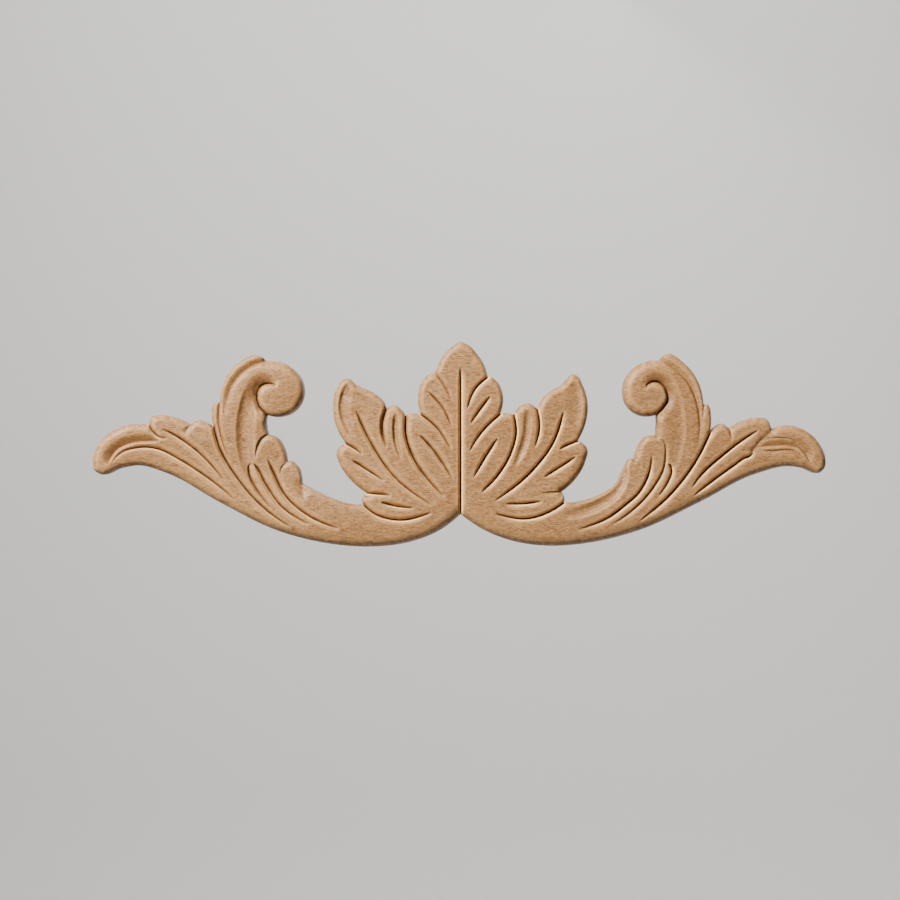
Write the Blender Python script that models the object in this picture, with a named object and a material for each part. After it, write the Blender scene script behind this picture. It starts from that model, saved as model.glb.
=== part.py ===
# Leaf applique: one carved wooden relief with a flat back, upright, its front facing -Y.
# The form is a squared-sheet drawing: rim curves give the outline, and every groove and hollow is a
# stroke with a depth and a reach. The relief is a swelling body less all the strokes.
import bpy
import numpy as np
from mathutils import Vector
from mathutils.geometry import delaunay_2d_cdt

# Driving dimensions, in metres
WIDTH = 0.300               # tip to tip
HEIGHT = 0.084              # top of the middle leaf to the lowest point of the arms
THICKNESS = 0.012           # back face to the highest point
BODY = 0.0088               # thickness of the ground under the swells
DEEP_CUT = 0.0029           # grooves that part one leaf from the next
VEIN_CUT = 0.0027           # short veins inside a leaf
LIGHT_CUT = 0.0016          # creases that only start at a notch
HOLLOW = 0.0019             # broad gouged hollows
MIDRIB_CUT = 0.0027         # the groove down the middle leaf
ROUNDING = 0.85             # fall of a rounded rim at the outline, as a share of its reach
FLANK = 0.34                # share of a groove's depth that spreads out as an easy slope on one side
CUT_SHARPNESS = 1.25        # 1 is a straight V, more is steeper towards the bottom
FLANK_REACH = 2.6           # width of that slope, in reaches of the groove
TAPER = 0.5                 # width of a stroke at its faded ends, as a share of its full width
MESH_PITCH = 0.00070        # spacing of the points the surface is worked out on
TRIANGLES = 9000            # what the finished solid is reduced to

# The drawing sheet: squares across and up, measured out from the middle of the object
SHEET_WIDTH = 731.0
SHEET_HEIGHT = 204.5
ACROSS = WIDTH / SHEET_WIDTH
UP = HEIGHT / SHEET_HEIGHT

# Swells of the body: middle (out, up), radii (out, up) in squares, share of the height above BODY
SWELLS = [
    ((0, 10), (90, 80), 0.95),
    ((178, 52), (34, 34), 0.75),
    ((110, -72), (110, 34), 0.55),
    ((222, 30), (30, 60), 0.35),
    ((300, 8), (70, 26), 0.30),
]

# Rim curves from the top of the middle leaf round to the bottom: name, reach of the rounding at the
# start and end in squares, and the points (out, up) that the curve runs through. The corner points
# between two curves are the notches.
LEFT_RIM = [
    ("top leaf", 6, 6, [(0, 102), (8.5, 96.5), (15.5, 90), (22.5, 78.5), (25.5, 70.5)]),
    ("upper lobe", 6, 6, [(25.5, 70.5), (30.5, 69.5), (36.5, 64.5), (42.5, 46.5), (39.5, 29)]),
    ("middle lobe", 5, 5, [(39.5, 29), (44.5, 30.2), (51.5, 29.7), (54.7, 28)]),
    ("strand lobe", 6, 6, [(54.7, 28), (58, 33.5), (64.5, 38.5), (73.7, 35)]),
    ("side leaf", 6, 6, [(73.7, 35), (76, 41.5), (83.5, 49), (103.5, 59), (112.5, 65.2), (118, 63),
                         (123.5, 55), (126.8, 37.5), (124, 18), (114, 0)]),
    ("lower lobe", 6, 10, [(114, 0), (120, -2.5), (123.3, -8.5), (121, -18.5), (107, -38.5),
                           (93.5, -49)]),
    ("bottom lobe", 5, 5, [(93.5, -49), (98.2, -55), (96.5, -60.8)]),
    ("arm top", 4, 4, [(96.5, -60.8), (110.5, -59.7), (130.5, -53), (158, -39.5)]),
    ("small lobe", 4, 4, [(158, -39.5), (163.7, -20.5), (168.5, -17.3), (172.7, -17.5)]),
    ("inner lobe", 6, 6, [(172.7, -17.5), (174.5, -7.5), (184.5, 7.5), (191.7, 9.5)]),
    ("stem", 7, 7, [(191.7, 9.5), (193.7, 20.5), (193, 29)]),
    ("volute", 9, 9, [(193, 29), (186.5, 27.2), (177.5, 27.3), (166.5, 31.5), (159, 40), (155.7, 51.5),
                      (158, 63.5), (165.5, 73.5), (176.5, 80.7), (187.5, 82.5), (194.7, 82.5)]),
    ("back strand", 4, 4, [(194.7, 82.5), (197, 86), (201.5, 87.7), (221.5, 79.8), (236.5, 58.5),
                           (239.5, 41.2)]),
    ("side strand", 4, 4, [(239.5, 41.2), (243, 41.7), (246, 39), (247.5, 31.5), (245.5, 16)]),
    ("upper blade", 6, 6, [(245.5, 16), (252.5, 21), (260.5, 23.7), (268.7, 19.3)]),
    ("outer blade", 6, 6, [(268.7, 19.3), (288.5, 27.3), (299.5, 28.7), (307.5, 26.5), (309.9, 19.2)]),
    ("wing", 6, 12, [(309.9, 19.2), (333.5, 18.2), (348.5, 11.5), (361.5, -1), (366.5, -18.5), (365, -26),
                     (358.5, -30.2), (337.5, -23.8), (320.5, -21.5), (292.5, -29.3), (240.5, -58),
                     (180.5, -87), (120.5, -100.7), (88.5, -102.3), (55.5, -98.8), (17.5, -84),
                     (0, -70)]),
]
RIGHT_RIM = [
    ("top leaf", 6, 6, [(0, 102), (8.5, 98), (15.5, 90.7), (24, 77.5), (27.2, 66.5)]),
    ("upper lobe", 6, 6, [(27.2, 66.5), (30.5, 66.7), (35.5, 63), (42.5, 45.5), (39.5, 29.7)]),
    ("middle lobe", 5, 5, [(39.5, 29.7), (47, 30.8), (53.3, 29.2)]),
    ("strand lobe", 6, 6, [(53.3, 29.2), (60.5, 38.5), (66.5, 40.7), (76.3, 34.8)]),
    ("side leaf", 6, 6, [(76.3, 34.8), (83.5, 47.5), (102.5, 60.5), (112, 69.3), (116.5, 67.5),
                         (121.5, 59), (126.8, 39.5), (124, 18.5), (117, 3.2)]),
    ("lower lobe", 6, 10, [(117, 3.2), (124, -1), (126.7, -5.5), (125, -16), (112, -38), (100.5, -47.7)]),
    ("bottom lobe", 5, 5, [(100.5, -47.7), (103.4, -54), (102.5, -58.5)]),
    ("arm top", 4, 4, [(102.5, -58.5), (114.5, -58), (134.5, -52.5), (154.5, -40.5), (163, -24),
                       (169.5, -14.3), (173.3, -14.7)]),
    ("inner lobe", 6, 6, [(173.3, -14.7), (175.5, -6.5), (185.5, 7.7), (194.8, 8.5)]),
    ("stem", 6, 6, [(194.8, 8.5), (195.7, 20.5), (195.5, 29)]),
    ("volute", 9, 9, [(195.5, 29), (189.5, 27.5), (181.5, 27.7), (171.5, 32.2), (164.5, 40.5),
                      (161.8, 52.5), (163.8, 63.5), (170.5, 73.5), (180.5, 80.5), (190.5, 83.3),
                      (199.5, 83.2)]),
    ("back strand", 4, 4, [(199.5, 83.2), (201, 86.5), (205, 89.3), (222.5, 80.3), (237.5, 59.5),
                           (242, 38.2)]),
    ("side strand", 4, 4, [(242, 38.2), (245, 39.7), (247.8, 36.5), (249.2, 28.5), (248, 10.5)]),
    ("upper blade", 6, 6, [(248, 10.5), (252.5, 16), (259.5, 20.3), (267.5, 15)]),
    ("outer blade", 6, 6, [(267.5, 15), (283.5, 24), (294.5, 26.3), (305, 24.5), (309.8, 14)]),
    ("wing", 6, 12, [(309.8, 14), (316.5, 17.5), (327.5, 18.7), (342.5, 14), (356, 2.5), (363.8, -14.5),
                     (363, -23.5), (358, -28.5), (340.5, -23.8), (327.5, -22.3), (294.5, -29.8),
                     (239.5, -57.5), (179.5, -85.5), (119.5, -99.7), (88.5, -101.5), (55.5, -97.5),
                     (24.5, -86.2), (0, -70)]),
]

# Strokes: depth, reach to the left and to the right of the path in squares, share of the path over which
# the stroke deepens at its start and dies out at its end, and the points (out, up) of the path.
LEFT_CUTS = {
    "upper notch": (0.7 * LIGHT_CUT, 2.2, 2.6, 0, 0.6, [(25.5, 70.5), (15.5, 56.5), (8.5, 42.5)]),
    "upper vein": (0.7 * VEIN_CUT, 1.9, 2.3, 0.3, 0.6, [(32.5, 52), (15.5, 32), (8.5, 16)]),
    "middle notch": (VEIN_CUT, 2.2, 2.6, 0, 0.6, [(39.5, 29), (23.5, 15.5), (9, -6.5)]),
    "middle vein": (VEIN_CUT, 2.2, 2.6, 0.25, 0.45, [(41, 9.3), (26.5, -7.2), (7.5, -35.7)]),
    "strand notch": (DEEP_CUT, 2.4, 3.2, 0, 0.25, [(54.7, 28), (54.8, 10.5), (47.5, -12.5), (34.5, -33),
                                                   (16.5, -52.5)]),
    "side notch": (0.8 * DEEP_CUT, 3.6, 2.4, 0, 0.5, [(73.7, 35), (77.7, 18.5), (73, -4.5)]),
    "side midrib": (0.9 * DEEP_CUT, 2.5, 2.8, 0.2, 0.35, [(104.5, 35), (90.5, 3.5), (63.5, -35.5),
                                                          (27.5, -61.5)]),
    "lower notch": (VEIN_CUT, 2.5, 2.8, 0, 0.5, [(114, 0), (108.5, -3), (97.5, -10.5)]),
    "lower vein": (VEIN_CUT, 2.2, 2.6, 0.35, 0.4, [(108.3, -16), (93.2, -26), (76.2, -36.5)]),
    "bottom notch": (VEIN_CUT, 2.2, 2.6, 0, 0.5, [(93.5, -49), (81.5, -50), (69.5, -51)]),
    "bottom vein": (VEIN_CUT, 2.2, 2.6, 0.3, 0.45, [(79.3, -58), (63.3, -62.2), (46.4, -63.7)]),
    "arm notch": (DEEP_CUT, 2.5, 2.8, 0, 0.3, [(96.5, -60.8), (84, -70.5), (63.5, -75.7), (28.8, -68.3)]),
    "small lobe step": (0.25 * VEIN_CUT, 2, 2.6, 0, 0.8, [(171.5, -17.5), (177.5, -23.4), (178.9, -28.5),
                                                          (177.5, -34)]),
    "small lobe foot": (0.75 * LIGHT_CUT, 8, 10, 0, 0.9, [(158, -39.5), (157, -47), (155.3, -56)]),
    "inner vein": (DEEP_CUT, 2.5, 2.8, 0.25, 0.35, [(192.5, -13), (186.9, -26.3), (174, -51.9),
                                                    (150.4, -72.2), (119.7, -84.6)]),
    "bud right": (VEIN_CUT, 2.5, 2.8, 0.15, 0.4, [(206.6, -18.6), (203, -23), (194, -39.7),
                                                  (177.2, -63.3), (149.2, -80.6)]),
    "bud left": (0.8 * VEIN_CUT, 2, 3, 0.15, 0.6, [(206.6, -18.6), (210.6, -21.3), (210.6, -29),
                                                   (205.8, -40.5), (193.8, -57.6), (186, -66)]),
    "inner step": (0.45 * VEIN_CUT, 1.5, 3.5, 0, 0.6, [(191.7, 9.5), (197.3, 6), (202, -2),
                                                       (203.4, -15)]),
    "main groove": (DEEP_CUT, 2.5, 2.8, 0, 0.3, [(245.5, 16), (240.5, -2), (222, -34.6), (194, -65.5),
                                                 (166, -84.5)]),
    "blade vein": (DEEP_CUT, 2.5, 2.8, 0.3, 0.35, [(297.5, 15.5), (289, 11), (265.5, -4.8),
                                                   (234.8, -36.5)]),
    "blade notch": (0.6 * LIGHT_CUT, 5, 5, 0, 0.8, [(268.7, 19.3), (271.5, 15), (275, 10)]),
    "wing groove": (0.9 * DEEP_CUT, 2.4, 2.6, 0.5, 0.25, [(346.5, -20), (342.5, -13.5), (334.5, -7.3),
                                                          (324, -4.4), (310.5, -3.5), (302, -5),
                                                          (278.5, -16.5), (252.5, -33.5), (222, -57)]),
    "blade step": (0.8 * VEIN_CUT, 2.4, 2.6, 0, 0.7, [(309.9, 19.2), (306.6, 12.6), (301.1, 7.6),
                                                      (291.2, 5.3)]),
    "wing cove": (0.6 * DEEP_CUT, 8.5, 1.6, 0.2, 0.15, [(298, 3), (310, 3.4), (319, 3), (331, 0.4),
                                                        (341.3, -4.7), (348, -12.4), (352, -21)]),
    "back crease": (0.43 * VEIN_CUT, 6, 3, 0, 0.5, [(194.7, 82.5), (211.5, 75.3), (225.5, 61.5),
                                                    (232.7, 43.5), (234, 21.5)]),
    "side crease": (0.55 * LIGHT_CUT, 2.2, 2.6, 0, 0.5, [(239.5, 41.2), (240.5, 25.5), (227.5, -21.5)]),
    "eye": (1.05 * VEIN_CUT, 1.4, 3, 0.2, 0, [(182, 58), (191, 60.3), (197.5, 58.3), (201.6, 53.2),
                                              (202.7, 46.5), (201, 39), (193, 29)]),
}
RIGHT_CUTS = {
    "upper notch": (VEIN_CUT, 2.9, 2, 0, 0.5, [(27.2, 66.5), (14.5, 54.5), (7, 34.5)]),
    "upper vein": (VEIN_CUT, 2.9, 2, 0.3, 0.45, [(30, 47.5), (19, 33.5), (10, 20)]),
    "middle notch": (DEEP_CUT, 2.9, 2, 0, 0.5, [(39.5, 29.7), (19.8, 10.2), (8.7, -8)]),
    "middle vein": (DEEP_CUT, 2.9, 2, 0.3, 0.35, [(37, 5.5), (25.5, -11.5), (13, -33.5)]),
    "strand notch": (DEEP_CUT, 2.9, 2, 0, 0.2, [(53.3, 29.2), (55.3, 11.5), (49.4, -10.4), (37.3, -30.7),
                                                (20.7, -48.2)]),
    "side notch": (DEEP_CUT, 2.9, 2, 0, 0.4, [(76.3, 34.8), (78.5, 17.5), (74, -3)]),
    "side midrib": (DEEP_CUT, 2.9, 2, 0.15, 0.25, [(102.5, 32.3), (93, 3), (69.4, -28.4), (33.6, -57)]),
    "lower notch": (VEIN_CUT, 2.9, 2, 0, 0.45, [(117, 3.2), (106.5, -1), (98, -5.5)]),
    "lower vein": (VEIN_CUT, 2.9, 2, 0.3, 0.35, [(115, -12.7), (100, -22.2), (83, -33.2)]),
    "bottom notch": (0.6 * LIGHT_CUT, 2.9, 2, 0, 0.6, [(100.5, -47.7), (79.5, -49)]),
    "bottom vein": (VEIN_CUT, 2.9, 2, 0.3, 0.4, [(80.5, -57), (63.5, -59.2), (44.5, -59.5)]),
    "arm notch": (DEEP_CUT, 2.9, 2, 0, 0.4, [(102.5, -58.5), (87, -68), (67.5, -74), (33.7, -69)]),
    "small lobe step": (0.18 * LIGHT_CUT, 2, 2.4, 0, 0.6, [(173.3, -14.7), (177, -18), (180, -25.5)]),
    "inner vein": (DEEP_CUT, 2.9, 2, 0.25, 0.35, [(190, -11), (189.5, -21), (185.6, -34.5), (177, -49),
                                                  (163.4, -61.1), (149.6, -71.6), (117.2, -85)]),
    "bud left": (0.7 * VEIN_CUT, 2.6, 2, 0.5, 0.35, [(194.8, 8.5), (202.5, 1), (204, -11.6),
                                                     (202.8, -22.5), (191.4, -44.3), (170.5, -66.5),
                                                     (150, -80.5)]),
    "bud right": (0.9 * VEIN_CUT, 2.6, 2, 0.2, 0.5, [(205.8, -20.3), (208.8, -21.5), (210.2, -28),
                                                     (207.6, -35.6), (196.8, -52)]),
    "main groove": (DEEP_CUT, 2.9, 2, 0, 0.3, [(248, 10.5), (234.5, -16.5), (210.5, -48.5),
                                               (177, -77.5)]),
    "blade vein": (DEEP_CUT, 2.9, 2, 0.25, 0.3, [(296.5, 14), (274, -0.8), (256.5, -15), (244, -26),
                                                 (229.5, -44)]),
    "blade notch": (0.7 * LIGHT_CUT, 2.9, 2.4, 0, 0.6, [(267.5, 15), (269.5, 4.5)]),
    "wing groove": (0.9 * DEEP_CUT, 2.9, 2, 0.08, 0.3, [(291, -8.5), (288.3, -11.6), (282, -14.3),
                                                        (273.2, -20.6), (251, -36.7), (231, -52.2)]),
    "blade step": (0.3 * VEIN_CUT, 9, 4.5, 0.1, 0.1, [(309.8, 14), (307, 11), (302.8, 7.2), (298.5, 3),
                                                      (294.2, -2.2), (290.8, -6), (289.5, -10)]),
    "wing cove": (0.43 * DEEP_CUT, 8.5, 1.8, 0.3, 0.15, [(290.8, -4.8), (299.4, -2.5), (311.3, -1.3),
                                                         (325, -0.8), (335.3, -3), (342.1, -8.2),
                                                         (347.3, -18.4)]),
    "back crease": (0.35 * VEIN_CUT, 5, 3, 0, 0.5, [(199.5, 83.2), (214.5, 73.5), (228, 58), (236.3, 36),
                                                    (238, 17), (235, -4)]),
    "side crease": (0.4 * LIGHT_CUT, 2.5, 2.5, 0, 0.6, [(242, 38.2), (240.3, 22.5)]),
    "eye": (1.05 * VEIN_CUT, 1.4, 3, 0.2, 0, [(184.5, 54.5), (185, 58.6), (189, 61.5), (195, 62),
                                              (201.5, 58.5), (205.8, 51), (206.3, 43.5), (202, 36),
                                              (195.5, 29)]),
    "cove edge": (0.22 * VEIN_CUT, 1, 4, 0.15, 0.3, [(299.3, 3.8), (307.9, 6.1), (325, 5.5), (335.2, 2.1),
                                                     (342.1, -3.9), (348.9, -12.4)]),
    "wing bead": (0.4 * LIGHT_CUT, 2.4, 3.5, 0.25, 0.4, [(297.7, -6), (307.9, -7.1), (320, -6.5),
                                                         (331, -7.2), (338, -12.5), (342, -19)]),
}
# Broad hollows, written like the cuts but with a round bottom
LEFT_HOLLOWS = {
    "strand flute": (0.7 * HOLLOW, 3, 4.5, 0.25, 0.5, [(64.5, 30.5), (64.5, 5.5), (58.6, -16.5)]),
    "side hollow": (0.55 * HOLLOW, 4, 9, 0.25, 0.5, [(111, 61.5), (117.7, 38.5), (107.5, 5.5)]),
    "stem hollow": (0.9 * HOLLOW, 10.5, 11, 0.25, 0.5, [(201, 60), (207.5, 50), (210, 38), (213, 24),
                                                        (213.5, 2), (212, -14), (207, -36)]),
    "volute hollow": (1.45 * HOLLOW, 14, 3, 0.4, 0.45, LEFT_CUTS["eye"][-1]),
}
RIGHT_HOLLOWS = {
    "strand flute": (0.5 * HOLLOW, 4, 5.5, 0.2, 0.4, [(66.2, 33.5), (65.2, 10), (53, -23.5)]),
    "side hollow": (0.3 * HOLLOW, 5, 12, 0.25, 0.5, [(112.5, 63.5), (116.5, 38.5), (111.5, 13.5)]),
    "arm hollow": (0.6 * HOLLOW, 5.5, 10, 0.1, 0.45, [(162, -20), (161.6, -27), (159.5, -38),
                                                      (152, -50.6), (141, -58.5), (123, -66.7),
                                                      (98, -72.5)]),
    "stem hollow": (0.25 * HOLLOW, 5, 14, 0.3, 0.4, [(203, 63), (211.5, 54.5), (215.5, 42), (217.5, 28),
                                                     (218, 10), (215.5, -10), (211, -26)]),
    "volute hollow": (1.2 * HOLLOW, 12, 3, 0.4, 0.6, RIGHT_CUTS["eye"][-1]),
}
# How the outer side of a hollow rises, as a and b of (1 - inside^a)^b: the left half's crests are soft, the
# right half's are crisp, and the hollow round the volute's eye is a cove
OUTER_BEND = {"left": (3, 1.5), "right": (2, 1), "volute hollow": (1, 1.4)}
# The hollows that stop at the raised eye of the volute, and over how many squares they stop
BELOW_EYE = ("stem hollow", "volute hollow")
EYE_STEP = 2.2

# The groove down the middle leaf: its path, its reach on the left and right half, and its fade at the top
MIDRIB = [(0, 76), (0, 40), (0, -70)]
MIDRIB_REACH = (2.4, 3.2)
MIDRIB_FADE = 0.12


def smooth_curve(points, spacing):
    """A cubic through the points whose tangents weigh the two chords at each point by nearness."""
    p = np.array(points, float)
    chords = np.diff(p, axis=0)
    lengths = np.hypot(*chords.T)[:, None]
    speeds = chords / lengths
    inner = (speeds[:-1] * lengths[1:] + speeds[1:] * lengths[:-1]) / (lengths[:-1] + lengths[1:])
    first = 1.5 * speeds[:1] - 0.5 * (inner[:1] if len(inner) else speeds[:1])
    last = 1.5 * speeds[-1:] - 0.5 * (inner[-1:] if len(inner) else speeds[-1:])
    tangents = np.vstack([first, inner, last])
    spans = []
    for a, b, ta, tb, length in zip(p[:-1], p[1:], tangents[:-1], tangents[1:], lengths[:, 0]):
        count = max(2, round(length / spacing))
        t = np.arange(count)[:, None] / count
        spans.append(a * (1 + 2 * t) * (1 - t) ** 2 + b * (3 - 2 * t) * t**2
                     + length * (ta * t * (1 - t) ** 2 - tb * (1 - t) * t**2))
    return np.vstack(spans + [p[-1:]])


def along_and_across(line, spots):
    """For each spot: its distance from the line, its side (above 0 is left) and how far along it lies."""
    best = np.full(len(spots), np.inf)
    side = np.zeros(len(spots))
    place = np.zeros(len(spots))
    lengths = np.hypot(*np.diff(line, axis=0).T)
    starts = np.concatenate([[0], np.cumsum(lengths)])
    for a, b, length, start in zip(line[:-1], line[1:], lengths, starts):
        along = (b - a) / length
        offset = spots - a
        share = np.clip(offset @ along, 0, length)
        gap = np.hypot(*(offset - share[:, None] * along).T)
        nearer = gap < best
        best[nearer] = gap[nearer]
        side[nearer] = (along[0] * offset[:, 1] - along[1] * offset[:, 0])[nearer]
        place[nearer] = ((start + share) / starts[-1])[nearer]
    return best, side, place


def near(line, spots, reach):
    low = line.min(axis=0) - reach
    high = line.max(axis=0) + reach
    return ((spots > low) & (spots < high)).all(axis=1)


def left_of(points, spots):
    """1 on the left of the curve, falling to 0 over a soft step on its right."""
    gap, side, _ = along_and_across(smooth_curve(points, 2.0), spots)
    share = np.clip(1 + np.where(side > 0, gap, -gap) / EYE_STEP, 0, 1)
    return share**2 * (3 - 2 * share)


def stroke_depth(spots, row, bend):
    """Depth of one stroke at the spots. A cut is a V with an easy slope on the right of its path, and a
    hollow, which has a bend, is a gouged arc: (1 - inside^a)^b on the left and cos^2 on the right."""
    depth, left, right, fade_in, fade_out, points = row
    line = smooth_curve(points, 2.0)
    widest = max(left, right) * (1 if bend else FLANK_REACH)
    out = np.zeros(len(spots))
    close = near(line, spots, widest)
    gap, side, place = along_and_across(line, spots[close])
    fade = np.ones(len(gap))
    if fade_in:
        fade *= np.sin(np.pi / 2 * np.clip(place / fade_in, 0, 1))
    if fade_out:
        fade *= np.sin(np.pi / 2 * np.clip((1 - place) / fade_out, 0, 1))
    reach = np.where(side > 0, left, right) * (TAPER + (1 - TAPER) * fade)
    if bend:
        inside = np.clip(gap / reach, 0, 1)
        gouged = (1 - inside ** bend[0]) ** bend[1]
        shape = np.where(side > 0, gouged, np.cos(np.pi / 2 * inside) ** 2)
    else:
        shape = np.clip(1 - gap / reach, 0, 1) ** CUT_SHARPNESS
        easy = np.clip(1 - gap / (reach * FLANK_REACH), 0, 1) ** 2
        shape = np.where(side > 0, shape, shape + FLANK * (easy - shape))
    out[close] = depth * shape * fade
    return out


def rim_depth(spots, reach_start, reach_end, points):
    """Quarter-round at the outline: ROUNDING * reach * (1 - sqrt(1 - (1 - gap / reach)^2))."""
    line = smooth_curve(points, 2.0)
    reach = max(reach_start, reach_end)
    out = np.zeros(len(spots))
    close = near(line, spots, reach)
    gap, _, place = along_and_across(line, spots[close])
    reach = reach_start + (reach_end - reach_start) * np.clip(2 * place, 0, 1)
    inward = np.clip(1 - gap / reach, 0, 1)
    out[close] = ROUNDING * reach * ACROSS * (1 - np.sqrt(1 - inward**2))
    return out


def relief(spots):
    """Height over the back, in metres, at spots (across, up) in squares: the body less the fourth-power
    sum of the strokes."""
    height = np.zeros(len(spots))
    halves = [
        ("left", spots[:, 0] <= 0, -1, LEFT_RIM, LEFT_CUTS, LEFT_HOLLOWS, MIDRIB_REACH[0]),
        ("right", spots[:, 0] > 0, 1, RIGHT_RIM, RIGHT_CUTS, RIGHT_HOLLOWS, MIDRIB_REACH[1]),
    ]
    for half, mask, sign, rims, cuts, hollows, reach in halves:
        own = spots[mask] * (sign, 1)
        swell = np.zeros(len(own))
        for middle, radii, share in SWELLS:
            swell += share * np.exp(-(((own - middle) / radii) ** 2).sum(axis=1))
        total = np.zeros(len(own))
        for _, start, end, points in rims:
            total += rim_depth(own, start, end, points) ** 4
        rib = (MIDRIB_CUT, reach, reach, MIDRIB_FADE, 0, MIDRIB)
        for row in [*cuts.values(), rib]:
            total += stroke_depth(own, row, None) ** 4
        for name, row in hollows.items():
            depth = stroke_depth(own, row, OUTER_BEND.get(name, OUTER_BEND[half]))
            if name in BELOW_EYE:
                depth *= left_of(cuts["eye"][-1], own)
            total += depth**4
        body = BODY + (THICKNESS - BODY) * np.tanh(swell)
        height[mask] = body - total**0.25
    return height * THICKNESS / height.max()


def outline(spacing):
    """The whole outline, anticlockwise seen from the front, as one closed ring."""
    left = [smooth_curve(row[3], spacing)[:-1] for row in LEFT_RIM]
    right = [smooth_curve(row[3], spacing)[:-1] for row in RIGHT_RIM]
    right = np.vstack(right + [[RIGHT_RIM[-1][3][-1]]])[:0:-1]
    return np.vstack([np.vstack(left) * (-1, 1), right])


def groove_lines(spacing):
    lines = [smooth_curve(row[-1], spacing) * (-1, 1) for row in LEFT_CUTS.values()]
    lines += [smooth_curve(row[-1], spacing) for row in RIGHT_CUTS.values()]
    return lines + [smooth_curve(MIDRIB, spacing)]


def clear_of(spots, fixed, gap):
    """The spots farther than the gap from every fixed point, found through cells one gap wide."""
    low = np.minimum(spots.min(axis=0), fixed.min(axis=0)) - 2 * gap
    cell = np.floor((fixed - low) / gap).astype(int)
    own = np.floor((spots - low) / gap).astype(int)
    table = np.full(np.maximum(cell.max(axis=0), own.max(axis=0)) + 3, -1)
    table[tuple(cell.T)] = np.arange(len(fixed))
    keep = np.ones(len(spots), bool)
    for i in (-1, 0, 1):
        for j in (-1, 0, 1):
            index = table[own[:, 0] + i, own[:, 1] + j]
            distance = np.hypot(*(spots - fixed[index]).T)
            keep &= (index < 0) | (distance > gap)
    return spots[keep]


def front_mesh(pitch):
    """Points and triangles of the front: an even grid with the outline and the grooves as its edges."""
    ring = outline(pitch)
    lines = groove_lines(pitch)
    edges = []
    count = len(ring)
    for line in lines:
        edges += [(count + i, count + i + 1) for i in range(len(line) - 1)]
        count += len(line)
    fixed = np.vstack([ring, *lines])
    low = ring.min(axis=0)
    high = ring.max(axis=0)
    steps = np.ceil((high - low) / pitch).astype(int)
    across, up = np.meshgrid(*(np.linspace(a, b, n) for a, b, n in zip(low, high, steps)))
    across[1::2] += pitch / 2
    grid = clear_of(np.column_stack([across.ravel(), up.ravel()]), fixed, 0.6 * pitch)
    points = [Vector(p) for p in np.vstack([fixed, grid])]
    ring_face = [list(range(len(ring)))]
    spots, _, faces, _, _, _ = delaunay_2d_cdt(points, edges, ring_face, 1, 1e-4)
    used, faces_used = np.unique(np.array(faces), return_inverse=True)
    return np.array(spots)[used], faces_used.reshape(-1, 3)


def rim_ring(faces):
    """The numbers of the points on the open edge of the triangles, in order round it."""
    ends = np.concatenate([faces[:, [0, 1]], faces[:, [1, 2]], faces[:, [2, 0]]]).tolist()
    both = {(b, a) for a, b in ends}
    following = {a: b for a, b in ends if (a, b) not in both}
    ring = [min(following)]
    while len(ring) < len(following):
        ring.append(following[ring[-1]])
    return np.array(ring)


def solid_mesh(name, pitch):
    """The closed body: the carved front, a straight wall under the outline, and the flat back."""
    spots, faces = front_mesh(pitch)
    front = np.column_stack([spots[:, 0] * ACROSS, -relief(spots), spots[:, 1] * UP])
    ring = rim_ring(faces)
    back = front[ring] * (1, 0, 1)
    below = len(front) + np.arange(len(ring))
    wall = np.column_stack([ring, below, np.roll(below, -1), np.roll(ring, -1)])
    flat = [Vector(p) for p in spots[ring]]
    _, _, fill, _, _, _ = delaunay_2d_cdt(flat, [], [list(range(len(ring)))], 1, 1e-6)
    under = below[np.array(fill)[:, ::-1]]
    mesh = bpy.data.meshes.new(name)
    points = np.vstack([front, back]).tolist()
    mesh.from_pydata(points, [], faces.tolist() + wall.tolist() + under.tolist())
    mesh.validate()
    return mesh


def wood_material():
    material = bpy.data.materials.new("Pale carved wood")
    material.use_nodes = True
    shader = material.node_tree.nodes["Principled BSDF"]
    shader.inputs["Base Color"].default_value = (0.56, 0.36, 0.21, 1)
    shader.inputs["Roughness"].default_value = 0.55
    shader.inputs["Metallic"].default_value = 0
    return material


def main():
    for obj in list(bpy.data.objects):
        bpy.data.objects.remove(obj, do_unlink=True)
    collection = bpy.data.collections.new("Leaf applique")
    bpy.context.scene.collection.children.link(collection)
    mesh = solid_mesh("leaf_applique", MESH_PITCH / ACROSS)
    body = bpy.data.objects.new("leaf_applique", mesh)
    collection.objects.link(body)
    mesh.materials.append(wood_material())
    triangles = sum(len(face.vertices) - 2 for face in mesh.polygons)
    reduce = body.modifiers.new("Fewer triangles", "DECIMATE")
    reduce.ratio = min(1, TRIANGLES / triangles)
    reduce.use_collapse_triangulate = True


main()
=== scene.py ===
import bpy
import numpy as np
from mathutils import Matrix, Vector
from mathutils.geometry import delaunay_2d_cdt


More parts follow.
